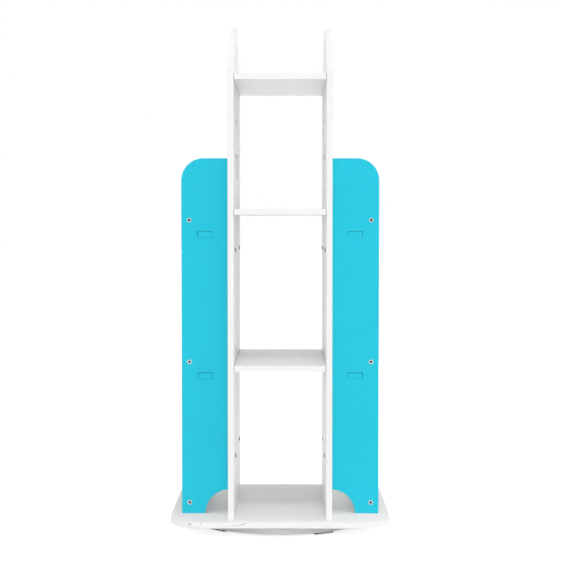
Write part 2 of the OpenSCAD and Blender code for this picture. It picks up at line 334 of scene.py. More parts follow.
@dataclass(frozen=True)
class Finish(ABC):
    """A surface finish for one of the record's material slots.

    Attributes:
        name: Name of its material.
        slot: The record's slot.
        colour: Its main colour.
        roughness: Its roughness, before the detail.
    """

    name: str
    slot: str
    colour: Colour
    roughness: float

    specular = 0.5
    METALLIC = 0.0
    MID_TONES = (0.3, 0.7)

    @cache
    def material(self) -> bpy.types.Material:
        """Builds the finish's material around one Principled shader, on first use.

        Returns:
            The material.
        """
        material = bpy.data.materials.new(self.name)
        material.diffuse_color = (*self.colour, 1.0)
        sketch = ShaderSketch(cleared_tree(material), "ShaderNodeTexCoord", "Object")
        shader = sketch.add("ShaderNodeBsdfPrincipled", {
            "Base Color": self.colour, "Roughness": self.roughness, "Metallic": self.METALLIC,
            "Specular IOR Level": self.specular})
        surface = self.shade(sketch)
        bump = sketch.add("ShaderNodeBump", {
            "Height": surface.height, "Distance": surface.depth, "Strength": 1.0})
        sketch.feed(shader, {
            "Base Color": surface.colour, "Roughness": surface.roughness, "Normal": bump.outputs["Normal"]})
        sketch.add("ShaderNodeOutputMaterial", {"Surface": shader.outputs["BSDF"]})
        LOG.info("finish %s", self.name)
        return material

    @abstractmethod
    def shade(self, sketch: ShaderSketch) -> Surface:
        """Draws the finish's detail.

        Args:
            sketch: The material's tree.

        Returns:
            What the shader is fed.
        """

    def tinted(self, share: float) -> Colour:
        """The finish's colour, darker below a share of 1 and lighter above it."""
        return tuple(min(1.0, channel * share) for channel in self.colour)

    def tints(self, sketch: ShaderSketch, pattern: Socket, shares: Span) -> Socket:
        """Mixes two tints of the finish's colour by a pattern."""
        return sketch.mix(pattern, *(self.tinted(share) for share in shares))

    def dulled(self, sketch: ShaderSketch, *layers: tuple[Socket, float]) -> Socket:
        """Adds to the finish's roughness.

        Args:
            sketch: The material's tree.
            layers: Masks, and how much rougher each makes the surface.

        Returns:
            The socket of the roughness.
        """
        roughness = self.roughness
        for mask, more in layers:
            roughness = sketch.math("MULTIPLY_ADD", mask, more, roughness)
        return roughness


@dataclass(frozen=True)
class ScuffMark:
    """A short scuff on a painted rim: its ends, its width and how dark it is."""

    start: Point
    end: Point
    width: float
    depth: float


@dataclass(frozen=True)
class PaintedBoard(Finish):
    """Satin paint sprayed on fibreboard.

    Attributes:
        rubbed: Colour where the edges are worn.
        drift: How far the tone drifts, as a share.
        dust: How much dust lies on faces that look up.
        scuffs: Scuffs on the board.
        specular: Specular level of the film.
        bounce: Grey that its bounced light takes, so that it leaves no cast on its neighbours.
    """

    rubbed: Colour
    drift: float = 0.03
    dust: float = 0.05
    scuffs: tuple[ScuffMark, ...] = ()
    specular: float = 0.35
    bounce: Colour | None = None

    DRIFT_SCALE = 7.0
    GLOSS_DRIFT = (-0.04, 0.04)
    PEEL_SCALE = 420.0
    PEEL_DEPTH = 0.02 * MM
    RUB_SCALE = 60.0
    RUB_AMOUNT = 0.45
    RUB_DULLS = 0.2
    DUST_SCALE = 260.0
    DUST = (0.42, 0.40, 0.37)
    DUST_DULLS = 0.5
    SCUFF_GRAIN = 900.0
    # Colour of the scuffs, and of the painted shade in the seams.
    SCUFF_AND_SEAM_SHADE = (0.12, 0.12, 0.12)
    SEAM_SHADE = 0.75

    def shade(self, sketch: ShaderSketch) -> Surface:
        """Draws tone drift, rubbed edges, painted shade in the seams, scuffs, dust and orange peel.

        Args:
            sketch: The material's tree.

        Returns:
            What the shader is fed.
        """
        film = sketch.place(paint_film, drift_scale=self.DRIFT_SCALE, peel_scale=self.PEEL_SCALE)
        rub = sketch.place(edge_rub, scale=self.RUB_SCALE, amount=self.RUB_AMOUNT)["Mask"]
        dust = sketch.place(settled_dust, scale=self.DUST_SCALE, amount=self.dust)["Mask"]
        # Painted shade: eased edges at a shelf's ends, where it butts on a panel, are darkened as if shade
        # fell in the gap.
        seam = sketch.math("MULTIPLY", sketch.attribute(SEAM), self.SEAM_SHADE)
        layers = [(rub, self.rubbed), (seam, self.SCUFF_AND_SEAM_SHADE)]
        for mark in self.scuffs:
            stroke = sketch.place(
                scuff, start=mark.start, end=mark.end, width=mark.width, grain_scale=self.SCUFF_GRAIN)
            layers.append((sketch.math("MULTIPLY", stroke["Mask"], mark.depth), self.SCUFF_AND_SEAM_SHADE))
        layers.append((dust, self.DUST))
        if self.bounce:
            layers.append((sketch.add("ShaderNodeLightPath").outputs["Is Diffuse Ray"], self.bounce))
        tone = sketch.ramp(film["Tone"], self.MID_TONES)
        paint = self.tints(sketch, tone, (1.0 - self.drift, 1.0 + self.drift))
        for share, colour in layers:
            paint = sketch.mix(share, paint, colour)
        dulled = self.dulled(sketch, (rub, self.RUB_DULLS), (dust, self.DUST_DULLS))
        gloss = sketch.ramp(film["Tone"], self.MID_TONES, self.GLOSS_DRIFT)
        return Surface(paint, sketch.math("ADD", dulled, gloss), film["Peel"], self.PEEL_DEPTH)


@dataclass(frozen=True)
class MouldedRubber(Finish):
    """Matt rubber with a fine moulded grain, greyer edges, and end caps of another colour."""

    cap: Colour

    GRAIN_SCALE = 1600.0
    GRAIN_DEPTH = 0.05 * MM
    GRAIN_GLOSS = 0.08
    TONE_SCALE = 120.0
    TINTS = (0.8, 1.3)
    BLOOM = 0.5
    BLOOM_TINT = 1.5

    def shade(self, sketch: ShaderSketch) -> Surface:
        """Draws the grain, a drift of tone, a greyer bloom on the edges and the caps.

        Args:
            sketch: The material's tree.

        Returns:
            What the shader is fed.
        """
        grain = sketch.noise(self.GRAIN_SCALE)
        bloom = sketch.place(edge_rub, scale=self.TONE_SCALE, amount=self.BLOOM)["Mask"]
        tone = sketch.ramp(sketch.noise(self.TONE_SCALE, detail=4.0), self.MID_TONES)
        rubber = sketch.mix(bloom, self.tints(sketch, tone, self.TINTS), self.tinted(self.BLOOM_TINT))
        capped = sketch.mix(sketch.attribute(CAPPED), rubber, self.cap)
        roughness = sketch.ramp(grain, self.MID_TONES, (self.roughness - self.GRAIN_GLOSS, self.roughness))
        return Surface(capped, roughness, grain, self.GRAIN_DEPTH)


@dataclass(frozen=True)
class TurnedMetal(Finish):
    """Metal faced on a lathe: fine rings round the turning axis."""

    METALLIC = 1.0
    ACROSS_AXIS = (1.0, 1.0, 0.0)
    RING_PITCH = 0.35 * MM
    RING_DEPTH = 0.012 * MM
    WANDER_SCALE = 25.0
    TONE_SCALE = 30.0
    TINTS = (0.9, 1.08)
    SCRATCH_SCALE = 180.0
    SCRATCH_DULLS = 0.15

    def shade(self, sketch: ShaderSketch) -> Surface:
        """Draws the tool's rings, hair scratches and a drift of tone.

        Args:
            sketch: The material's tree.

        Returns:
            What the shader is fed.
        """
        radius = sketch.vector_math("LENGTH", sketch.stretched(self.ACROSS_AXIS))
        wander = sketch.math("MULTIPLY", sketch.noise(self.WANDER_SCALE), self.RING_PITCH)
        turns = sketch.math("DIVIDE", sketch.math("ADD", radius, wander), self.RING_PITCH)
        rings = sketch.math("SINE", sketch.math("MULTIPLY", turns, math.tau))
        scratches = sketch.place(fine_scratches, scale=self.SCRATCH_SCALE)["Mask"]
        metal = self.tints(sketch, sketch.noise(self.TONE_SCALE, detail=3.0), self.TINTS)
        return Surface(metal, self.dulled(sketch, (scratches, self.SCRATCH_DULLS)), rings, self.RING_DEPTH)


@dataclass(frozen=True)
class PlatedSteel(Finish):
    """Zinc-plated or polished steel with hair scratches, and painted shade in a screw's recess."""

    cloud: Colour
    scratch_depth: float = 0.004 * MM

    METALLIC = 1.0
    CLOUD_SCALE = 220.0
    CLOUDS = (0.35, 0.65)
    CLOUD_DULLS = 0.06
    SCRATCH_SCALE = 500.0
    SCRATCH_DULLS = 0.2
    # Near-black painted shade for the faces of a screw's recess.
    RECESS_SHADE = (0.015, 0.015, 0.016)
    RECESS_DULLS = 0.3

    def shade(self, sketch: ShaderSketch) -> Surface:
        """Draws the plating's clouds, the scratches and the painted shade in a screw's recess.

        Args:
            sketch: The material's tree.

        Returns:
            What the shader is fed.
        """
        scratches = sketch.place(fine_scratches, scale=self.SCRATCH_SCALE)["Mask"]
        clouds = sketch.ramp(sketch.noise(self.CLOUD_SCALE, detail=3.0), self.CLOUDS)
        recess = sketch.attribute(RECESS)
        # Painted shade: the faces of a screw's recess are coloured near black, as if shade filled it.
        plated = sketch.mix(recess, sketch.mix(clouds, self.colour, self.cloud), self.RECESS_SHADE)
        roughness = self.dulled(
            sketch, (scratches, self.SCRATCH_DULLS), (recess, self.RECESS_DULLS), (clouds, self.CLOUD_DULLS))
        return Surface(plated, roughness, scratches, self.scratch_depth)


@dataclass(frozen=True)
class MouldedNylon(Finish):
    """Natural nylon, a little cloudy."""

    CLOUD_SCALE = 80.0
    CLOUD_DULLS = 0.08
    TINTS = (0.93, 1.05)
    GRAIN_SCALE = 900.0
    GRAIN_DEPTH = 0.01 * MM

    def shade(self, sketch: ShaderSketch) -> Surface:
        """Draws clouds in the colour and a fine moulded grain.

        Args:
            sketch: The material's tree.

        Returns:
            What the shader is fed.
        """
        clouds = sketch.ramp(sketch.noise(self.CLOUD_SCALE, detail=4.0), self.MID_TONES)
        roughness = sketch.ramp(clouds, (0.0, 1.0), (self.roughness, self.roughness + self.CLOUD_DULLS))
        grain = sketch.noise(self.GRAIN_SCALE)
        return Surface(self.tints(sketch, clouds, self.TINTS), roughness, grain, self.GRAIN_DEPTH)


@dataclass(frozen=True)
class BareBeech(Finish):
    """Bare beech with its grain along X, as the dowels lie."""

    GRAIN_STRETCH = (0.08, 1.0, 1.0)
    GRAIN_SCALE = 900.0
    GRAIN_DEPTH = 0.03 * MM
    GRAIN_GLOSS = 0.1
    TINTS = (0.75, 1.2)
    FLECK_SCALE = 2600.0
    FLECKS = (0.62, 0.7)
    FLECK_TINT = 0.45

    def shade(self, sketch: ShaderSketch) -> Surface:
        """Draws the grain and the short dark flecks that beech has.

        Args:
            sketch: The material's tree.

        Returns:
            What the shader is fed.
        """
        grain = sketch.noise(self.GRAIN_SCALE, detail=4.0, stretch=self.GRAIN_STRETCH)
        flecks = sketch.ramp(sketch.noise(self.FLECK_SCALE, stretch=self.GRAIN_STRETCH), self.FLECKS)
        wood = sketch.mix(flecks, self.tints(sketch, grain, self.TINTS), self.tinted(self.FLECK_TINT))
        roughness = sketch.ramp(grain, self.MID_TONES, (self.roughness - self.GRAIN_GLOSS, self.roughness))
        return Surface(wood, roughness, grain, self.GRAIN_DEPTH)


WHITE: Colour = (0.92, 0.92, 0.915)
WHITE_RUBBED: Colour = (0.76, 0.75, 0.73)
WHITE_PAINT = PaintedBoard("white_paint", "white_board", WHITE, 0.42, WHITE_RUBBED, drift=0.012)
RIM_SCUFFS = (
    ScuffMark((-0.181, -0.215, 0.0315), (-0.177, -0.216, 0.0310), 3.4 * MM, 0.45),
    ScuffMark((-0.157, -0.222, 0.0330), (-0.155, -0.222, 0.0325), 2.2 * MM, 0.4),
    ScuffMark((-0.094, -0.2225, 0.0305), (-0.080, -0.2225, 0.0315), 1.5 * MM, 0.3),
    ScuffMark((-0.080, -0.2225, 0.0315), (-0.068, -0.2225, 0.0345), 1.8 * MM, 0.5),
)
# Painted light: the plate's paint is a lighter copy of the white boards' paint, with less dust, so that its
# top looks better lit.
LIGHTENED_PLATE_PAINT = PaintedBoard(
    "lightened_plate_paint", "white_board", (0.95, 0.95, 0.945), 0.5, WHITE_RUBBED, drift=0.012, dust=0.02,
    scuffs=RIM_SCUFFS, specular=0.12)
CYAN_PAINT = PaintedBoard(
    "cyan_paint", "cyan_board", (0.018, 0.60, 0.78), 0.45, (0.10, 0.68, 0.82), drift=0.02, specular=0.18,
    bounce=(0.64, 0.64, 0.64))
PAD_RUBBER = MouldedRubber(
    "pad_rubber", "grey_rubber", (0.48, 0.48, 0.485), 0.7, cap=(0.03, 0.03, 0.031))
RING_ALUMINIUM = TurnedMetal("turned_aluminium", "bearing_aluminium", (0.72, 0.73, 0.74), 0.34)
BALL_STEEL = PlatedSteel(
    "polished_steel", "ball_steel", (0.72, 0.72, 0.72), 0.1, (0.66, 0.67, 0.68), scratch_depth=0.001 * MM)
BLACK_ZINC = PlatedSteel("blackened_zinc", "black_zinc", (0.09, 0.09, 0.095), 0.4, (0.13, 0.13, 0.12))
SCREW_STEEL = PlatedSteel("bright_zinc", "screw_steel", (0.60, 0.61, 0.62), 0.28, (0.50, 0.51, 0.50))
DARK_ZINC = PlatedSteel("dull_zinc", "dark_zinc", (0.32, 0.32, 0.33), 0.4, (0.40, 0.38, 0.34))
RETAINER_NYLON = MouldedNylon("natural_nylon", "nylon", (0.78, 0.76, 0.70), 0.45)
DOWEL_BEECH = BareBeech("bare_beech", "beech", (0.60, 0.38, 0.18), 0.65)


@dataclass(frozen=True)
class Easing:
    """How a router eases a board's outside edges.

    Attributes:
        radius: Radius along outlines and windows.
        slot_radius: Radius round small slots.
        slot_span: Widest group of edges that counts as a small slot.
        hole_span: Widest group of edges that counts as a drilled hole, which stays sharp.
        seamed: Whether the board's ends along X butt on its neighbours, with painted shade along the seam.
    """

    radius: float
    slot_radius: float = 0.4 * MM
    slot_span: float = 60 * MM
    hole_span: float = 20 * MM
    seamed: bool = False

    SEGMENTS = 3
    FLATTEST = math.radians(60)
    STEEPEST = math.radians(120)
    CREASE = math.radians(35)

    def weight(self, edges: list[bmesh.types.BMEdge]) -> float:
        """Share of the radius that one group of joined edges gets.

        Args:
            edges: Edges that hang together.

        Returns:
            0 for a drilled hole, and up to 1 for an outline.
        """
        points = [vert.co for edge in edges for vert in edge.verts]
        span = max(max(p[axis] for p in points) - min(p[axis] for p in points) for axis in range(3))
        if span < self.hole_span:
            return 0.0
        return self.slot_radius / self.radius if span < self.slot_span else 1.0


def welded_solid(node: str) -> bmesh.types.BMesh:
    """Copies a solid's mesh, welds its loose triangles and joins those that lie in one plane.

    Args:
        node: Name of the CAD node.

    Returns:
        The welded mesh, which the caller frees.
    """
    flat = math.radians(0.3)
    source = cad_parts[node].data
    mesh = bmesh.new()
    verts = [mesh.verts.new(vert.co) for vert in source.vertices]
    for polygon in source.polygons:
        mesh.faces.new([verts[index] for index in polygon.vertices])
    bmesh.ops.remove_doubles(mesh, verts=mesh.verts, dist=WELD_DISTANCE)
    bmesh.ops.dissolve_limit(mesh, angle_limit=flat, verts=mesh.verts, edges=mesh.edges)
    mesh.normal_update()
    return mesh


def joined_groups(edges: set[bmesh.types.BMEdge]) -> list[list[bmesh.types.BMEdge]]:
    """Sorts edges into groups that hang together.

    Args:
        edges: Edges of one mesh.

    Returns:
        One list of edges for each group.
    """
    groups = []
    left = set(edges)
    while left:
        group = [left.pop()]
        for edge in group:
            near = {other for vert in edge.verts for other in vert.link_edges if other in left}
            left -= near
            group.extend(near)
        groups.append(group)
    return groups


def new_object(name: str, data: bpy.types.ID) -> bpy.types.Object:
    """Puts an object in the scene, at the origin.

    Args:
        name: Its name.
        data: Its mesh, lamp or camera.

    Returns:
        The object.
    """
    thing = bpy.data.objects.new(name, data)
    bpy.context.scene.collection.objects.link(thing)
    return thing


def settle_modifiers(thing: bpy.types.Object) -> None:
    """Turns what an object's modifiers make into its own plain mesh, and removes them.

    Args:
        thing: A mesh object.
    """
    graph = bpy.context.evaluated_depsgraph_get()
    made = bpy.data.meshes.new_from_object(
        thing.evaluated_get(graph), preserve_all_data_layers=True, depsgraph=graph)
    thing.modifiers.clear()
    old = thing.data
    thing.data = made
    made.name = thing.name
    bpy.data.meshes.remove(old)


def mark_faces(mesh: bpy.types.Mesh, name: str, share: Callable[[bpy.types.MeshPolygon], float]) -> None:
    """Stores a value for each face, as an attribute that materials read.

    Args:
        mesh: A finished piece's mesh.
        name: Name of the attribute.
        share: Gives a face's value, from 0 to 1.
    """
    values = [share(polygon) for polygon in mesh.polygons for _ in polygon.loop_indices]
    mesh.attributes.new(name, "FLOAT", "CORNER").data.foreach_set("value", values)


def mark_eased_faces(mesh: bpy.types.Mesh, seam_reach: float) -> None:
    """Stores which faces are eased edges, and which of those lie at a seam with a neighbour and get painted
    shade.

    Args:
        mesh: A board's mesh, whose eased edges have the second material slot until now.
        seam_reach: How far from the board's ends along X an eased edge is part of a seam, or 0.
    """
    facing, long_edge_share = 0.3, 0.4
    ends = [extreme(vert.co.x for vert in mesh.vertices) for extreme in (min, max)]

    def seam(polygon: bpy.types.MeshPolygon) -> float:
        """How much painted shade a face gets as part of a seam: most at the board's front and back."""
        at_end = min(abs(polygon.center.x - end) for end in ends) < seam_reach
        return polygon.material_index * at_end * (1.0 if abs(polygon.normal.y) > facing else long_edge_share)

    mark_faces(mesh, EASED, lambda polygon: float(polygon.material_index))
    mark_faces(mesh, SEAM, seam)
    for polygon in mesh.polygons:
        polygon.material_index = 0
    mesh.materials.pop()


def keep_inside(mesh: bpy.types.Mesh, node: str) -> None:
    """Draws back the points of a board's corners that a modifier left outside its solid's box.

    Args:
        mesh: The board's mesh.
        node: Name of the solid's CAD node.
    """
    low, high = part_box(node)
    for vert in mesh.vertices:
        vert.co = [min(max(value, least), most) for value, least, most in zip(vert.co, low, high)]


def eased_board(
        node: str, easing: Easing, finish: Finish, reshape: Reshape | None = None) -> bpy.types.Object:
    """Makes the visible board of a solid, with its outside edges eased.

    Args:
        node: Name of the CAD node.
        easing: Radii of the edges.
        finish: Finish of the board.
        reshape: Changes the welded solid before its edges are eased.

    Returns:
        The board, as a plain mesh.
    """
    solid = welded_solid(node)
    if reshape:
        reshape(solid)
    weights = solid.edges.layers.float.new("bevel_weight_edge")
    square = {
        edge for edge in solid.edges
        if edge.is_convex and easing.FLATTEST < edge.calc_face_angle() < easing.STEEPEST}
    for group in joined_groups(square):
        for edge in group:
            edge[weights] = easing.weight(group)
    for edge in solid.edges:
        edge.smooth = edge[weights] > 0.0 or edge.calc_face_angle() < easing.CREASE
    for face in solid.faces:
        face.smooth = True
    mesh = bpy.data.meshes.new(node)
    solid.to_mesh(mesh)
    solid.free()
    board = new_object(f"{node}_board", mesh)
    slots = ("faces", "eased edges")
    for _ in slots:
        mesh.materials.append(finish.material())
    bevel = board.modifiers.new("eased edges", "BEVEL")
    bevel.limit_method = "WEIGHT"
    bevel.width = easing.radius
    bevel.segments = easing.SEGMENTS
    bevel.material = slots.index("eased edges")
    normals = board.modifiers.new("flat faces", "WEIGHTED_NORMAL")
    normals.keep_sharp = True
    settle_modifiers(board)
    keep_inside(board.data, node)
    mark_eased_faces(board.data, easing.radius if easing.seamed else 0.0)
    return board


class Drive(Enum):
    """Recess in a screw's head."""

    HEXAGON = "hexagon socket"
    CROSS = "cross recess"


@dataclass(frozen=True)
class ScrewKind:
    """One kind of countersunk screw.

    Attributes:
        name: Name of its node tree.
        drive: Recess in its head.
        shank: Diameter of its shank.
        tip: Length of its point.
        recess: Width across the hexagon, or of the cross's arms.
        recess_span: Length of the cross's arms, from end to end.
        recess_depth: Depth of the recess.
        rim: Height of the eased rim of its head.
        raised: How far its head stands proud.
    """

    name: str
    drive: Drive
    shank: float
    tip: float
    recess: float
    recess_depth: float
    recess_span: float = 0.0
    rim: float = 0.15 * MM
    raised: float = 0.0


JOINERY_SCREW = ScrewKind(
    "joinery_screws", Drive.HEXAGON, shank=5 * MM, tip=2.5 * MM, recess=4.6 * MM, recess_depth=3 * MM)
WING_SCREW = replace(JOINERY_SCREW, name="wing_screws", rim=0.7 * MM, raised=1.7 * MM)
RING_SCREW = ScrewKind(
    "ring_screws", Drive.CROSS, shank=3.5 * MM, tip=3.5 * MM, recess=1 * MM, recess_depth=1.4 * MM,
    recess_span=4.2 * MM)


@dataclass(frozen=True)
class ScrewPlace:
    """Where one screw sits: the middle of its head's face, and the way that it points."""

    head: Vector
    into: Vector
    head_width: float
    length: float


def solid_parts(node: str) -> list[list[Vector]]:
    """Lists the points of each separate solid in a CAD node.

    Args:
        node: Name of the CAD node.

    Returns:
        One list of points for each solid.
    """
    mesh = welded_solid(node)
    parts = [
        list({vert.index: vert.co.copy() for edge in group for vert in edge.verts}.values())
        for group in joined_groups(set(mesh.edges))]
    mesh.free()
    decimals = 4
    return sorted(
        parts, key=lambda points: [round(sum(p[axis] for p in points), decimals) for axis in range(3)])


def screw_places(node: str) -> list[ScrewPlace]:
    """Reads the places of the screws in a CAD node from its solids.

    Args:
        node: Name of the CAD node.

    Returns:
        One place for each screw.
    """
    places = []
    for points in solid_parts(node):
        low = Vector([min(p[axis] for p in points) for axis in range(3)])
        high = Vector([max(p[axis] for p in points) for axis in range(3)])
        size = high - low
        along = max(range(3), key=lambda axis: size[axis])
        across = (along + 1) % 3
        widths = []
        for end in (low[along], high[along]):
            level = [p[across] for p in points if abs(p[along] - end) < WELD_DISTANCE]
            widths.append(max(level) - min(level))
        head, into = (low + high) / 2, Vector((0, 0, 0))
        head_is_low = widths[0] > widths[1]
        head[along] = low[along] if head_is_low else high[along]
        into[along] = 1.0 if head_is_low else -1.0
        places.append(ScrewPlace(head, into, max(widths), size[along]))
    return places


class GeometrySketch(NodeSketch):
    """A geometry node tree with named inputs, used as a modifier."""

    CREASE = math.radians(30)

    def __init__(self, name: str, inputs: dict[str, str]) -> None:
        """Starts a tree.

        Args:
            name: Name of the tree.
            inputs: Socket type of each input, besides Geometry and Material.
        """
        super().__init__(bpy.data.node_groups.new(name, "GeometryNodeTree"))
        kinds = {"Geometry": "NodeSocketGeometry", **inputs, "Material": "NodeSocketMaterial"}
        self.identifiers = {
            key: self.tree.interface.new_socket(key, in_out="INPUT", socket_type=kind).identifier
            for key, kind in kinds.items()}
        self.given = self.add("NodeGroupInput").outputs

    def shifted(self, shape: Socket, height: object) -> Socket:
        """Moves a shape along Z."""
        move = {"Geometry": shape, "Translation": self.add("ShaderNodeCombineXYZ", {"Z": height}).outputs[0]}
        return self.add("GeometryNodeTransform", move).outputs["Geometry"]

    def set_on_points(self, inputs: dict[str, Socket]) -> None:
        """Ends the tree: shapes are set on points, become real and take the material.

        Args:
            inputs: What the node that sets them on points is fed.
        """
        placed = self.add("GeometryNodeInstanceOnPoints", inputs).outputs["Instances"]
        real = self.add("GeometryNodeRealizeInstances", {"Geometry": placed}).outputs["Geometry"]
        smooth = self.add("GeometryNodeSetShadeSmooth", {"Geometry": real}).outputs["Geometry"]
        bare = {"Geometry": smooth, "Material": self.given["Material"]}
        dressed = self.add("GeometryNodeSetMaterial", bare).outputs["Geometry"]
        self.give("NodeSocketGeometry", {"Geometry": dressed})

    def grow(self, thing: bpy.types.Object, values: dict[str, object]) -> None:
        """Runs the tree on an object and keeps the result as its plain mesh.

        Args:
            thing: Object whose mesh the tree starts from.
            values: Value of each named input.
        """
        modifier = thing.modifiers.new(self.tree.name, "NODES")
        modifier.node_group = self.tree
        for key, value in values.items():
            modifier[self.identifiers[key]] = value
        settle_modifiers(thing)
        thing.data.set_sharp_from_angle(angle=self.CREASE)


class ScrewTree(GeometrySketch):
    """Node tree that sets one kind of screw on points, head at the point and shank along its direction."""

    SIDES = 32
    HEXAGON_SIDES = 6
    GOLDEN_SHARE = 0.381966
    SIZES = (
        "Head Radius", "Shank Radius", "Length", "Tip Length", "Rim", "Raised", "Recess Radius",
        "Recess Span", "Recess Depth")

    def __init__(self, kind: ScrewKind) -> None:
        """Builds the tree of one kind of screw.

        Args:
            kind: The kind.
        """
        super().__init__(kind.name, dict.fromkeys(self.SIZES, NUMBER))
        self.kind = kind
        screw = self._recessed(self._turned_body())
        into, turn = (
            self.add("GeometryNodeInputNamedAttribute", {"Name": name}, data_type=data).outputs["Attribute"]
            for name, data in ((INTO, "FLOAT_VECTOR"), (TURN, "FLOAT")))
        aimed = self.add("FunctionNodeAlignRotationToVector", {"Vector": into}, axis="Z")
        spun = self.add("FunctionNodeAxisAngleToRotation", {"Axis": (0.0, 0.0, 1.0), "Angle": turn})
        turned = {"Rotation": aimed.outputs["Rotation"], "Rotate By": spun.outputs["Rotation"]}
        rotation = self.add("FunctionNodeRotateRotation", turned, rotation_space="LOCAL").outputs["Rotation"]
        self.set_on_points({"Points": self.given["Geometry"], "Instance": screw, "Rotation": rotation})

    def _frustum(
            self, start: object, depth: object, near: object, far: object, capped: bool = False) -> Socket:
        """Adds one turned stage of the screw.

        Args:
            start: Distance of its near end from the head's face.
            depth: Its length.
            near: Radius at its near end.
            far: Radius at its far end.
            capped: Whether its near end is closed.

        Returns:
            The stage's socket.
        """
        sizes = {"Vertices": self.SIDES, "Radius Bottom": near, "Radius Top": far, "Depth": depth}
        cone = self.add("GeometryNodeMeshCone", sizes, fill_type="NGON" if capped else "NONE")
        stage = cone.outputs["Mesh"]
        if capped:
            far_end = {"Geometry": stage, "Selection": cone.outputs["Top"]}
            opened = self.add("GeometryNodeDeleteGeometry", far_end, domain="FACE", mode="ONLY_FACE")
            stage = opened.outputs["Geometry"]
        return self.shifted(stage, start)

    def _turned_body(self) -> Socket:
        """Stacks rim, any raised wall, countersunk head, shank and point, and welds them together.

        Returns:
            The socket of one closed shape.
        """
        head, shank, rim = self.given["Head Radius"], self.given["Shank Radius"], self.given["Rim"]
        shoulder = self.math("SUBTRACT", head, rim)
        face = self.math("SUBTRACT", shoulder, rim)
        head_end = self.math("SUBTRACT", head, shank)
        shank_end = self.math("SUBTRACT", self.given["Length"], self.given["Tip Length"])
        raised = self.given["Raised"]
        stages = [
            self._frustum(self.math("MULTIPLY", raised, -1.0), rim, face, shoulder, capped=True),
            self._frustum(rim, self.math("SUBTRACT", head_end, rim), shoulder, shank),
            self._frustum(head_end, self.math("SUBTRACT", shank_end, head_end), shank, shank),
            self._frustum(shank_end, self.given["Tip Length"], shank, 0.0),
        ]
        if self.kind.raised:
            stages.append(self._frustum(self.math("SUBTRACT", rim, raised), raised, shoulder, shoulder))
        joined = self.add("GeometryNodeJoinGeometry")
        for stage in stages:
            self.feed(joined, {"Geometry": stage})
        loose = {"Geometry": joined.outputs["Geometry"], "Distance": WELD_DISTANCE}
        return self.add("GeometryNodeMergeByDistance", loose).outputs["Geometry"]

    def _recessed(self, body: Socket) -> Socket:
        """Cuts the drive's recess into the head, and marks the faces that this leaves for painted shade.

        Args:
            body: Socket of the turned shape.

        Returns:
            The socket of the screw.
        """
        # Each cutter is centred on the head's face, so it is twice as long as the recess is deep.
        depth = self.math("MULTIPLY", self.given["Recess Depth"], 2.0)
        radius, span = self.given["Recess Radius"], self.given["Recess Span"]
        if self.kind.drive is Drive.HEXAGON:
            prism = {"Vertices": self.HEXAGON_SIDES, "Radius": radius, "Depth": depth}
            cutters = [self.add("GeometryNodeMeshCylinder", prism)]
        else:
            width = self.math("MULTIPLY", radius, 2.0)
            arms = ({long: span, short: width, "Z": depth} for long, short in ("XY", "YX"))
            sizes = [self.add("ShaderNodeCombineXYZ", arm).outputs["Vector"] for arm in arms]
            cutters = [self.add("GeometryNodeMeshCube", {"Size": size}) for size in sizes]
        top = self.math("MULTIPLY", self.given["Raised"], -1.0)
        cut = self.add("GeometryNodeMeshBoolean", {"Mesh 1": body}, operation="DIFFERENCE", solver="EXACT")
        for cutter in cutters:
            # The mark tells the screws' finish where to paint shade in the recess.
            marked = {"Geometry": cutter.outputs["Mesh"], "Name": RECESS, "Value": 1.0}
            stored = self.add("GeometryNodeStoreNamedAttribute", marked, domain="FACE").outputs["Geometry"]
            self.feed(cut, {"Mesh 2": self.shifted(stored, top)})
        return cut.outputs["Mesh"]

    def set_screws(self, node: str, finish: Finish) -> bpy.types.Object:
        """Makes the screws of one CAD node.

        Args:
            node: Name of the CAD node, whose solids give the places and the main sizes.
            finish: Finish of the screws.

        Returns:
            The screws, as one plain mesh.
        """
        places = screw_places(node)
        mesh = bpy.data.meshes.new(node)
        mesh.from_pydata([place.head for place in places], [], [])
        mesh.attributes.new(INTO, "FLOAT_VECTOR", "POINT")
        mesh.attributes.new(TURN, "FLOAT", "POINT")
        for index, place in enumerate(places):
            mesh.attributes[INTO].data[index].vector = place.into
            mesh.attributes[TURN].data[index].value = index * (math.tau * self.GOLDEN_SHARE)
        screws = new_object(f"{node}_turned", mesh)
        hexagon = self.kind.drive is Drive.HEXAGON
        to_corner = math.cos(math.pi / self.HEXAGON_SIDES) if hexagon else 1.0
        self.grow(screws, {
            "Head Radius": places[0].head_width / 2,
            "Shank Radius": self.kind.shank / 2,
            "Length": places[0].length,
            "Tip Length": self.kind.tip,
            "Rim": self.kind.rim,
            "Raised": self.kind.raised,
            "Recess Radius": self.kind.recess / 2 / to_corner,
            "Recess Span": self.kind.recess_span,
            "Recess Depth": self.kind.recess_depth,
            "Material": finish.material(),
        })
        return screws


@cache
def screw_tree(kind: ScrewKind) -> ScrewTree:
    """The node tree of one kind of screw, which is built on first use."""
    return ScrewTree(kind)


class BallTree(GeometrySketch):
    """Node tree that sets balls round a circle."""

    SIZES = ("Circle Radius", "Ball Radius", "Height")
    SEGMENTS = 24
    RINGS = 14

    def __init__(self) -> None:
        """Builds the tree."""
        super().__init__("bearing_balls", dict.fromkeys(self.SIZES, NUMBER) | {"Count": "NodeSocketInt"})
        circle = self.add("GeometryNodeMeshCircle", {
            "Vertices": self.given["Count"], "Radius": self.given["Circle Radius"]})
        ball = self.add("GeometryNodeMeshUVSphere", {
            "Segments": self.SEGMENTS, "Rings": self.RINGS, "Radius": self.given["Ball Radius"]})
        middles = self.shifted(circle.outputs["Mesh"], self.given["Height"])
        self.set_on_points({"Points": middles, "Instance": ball.outputs["Mesh"]})


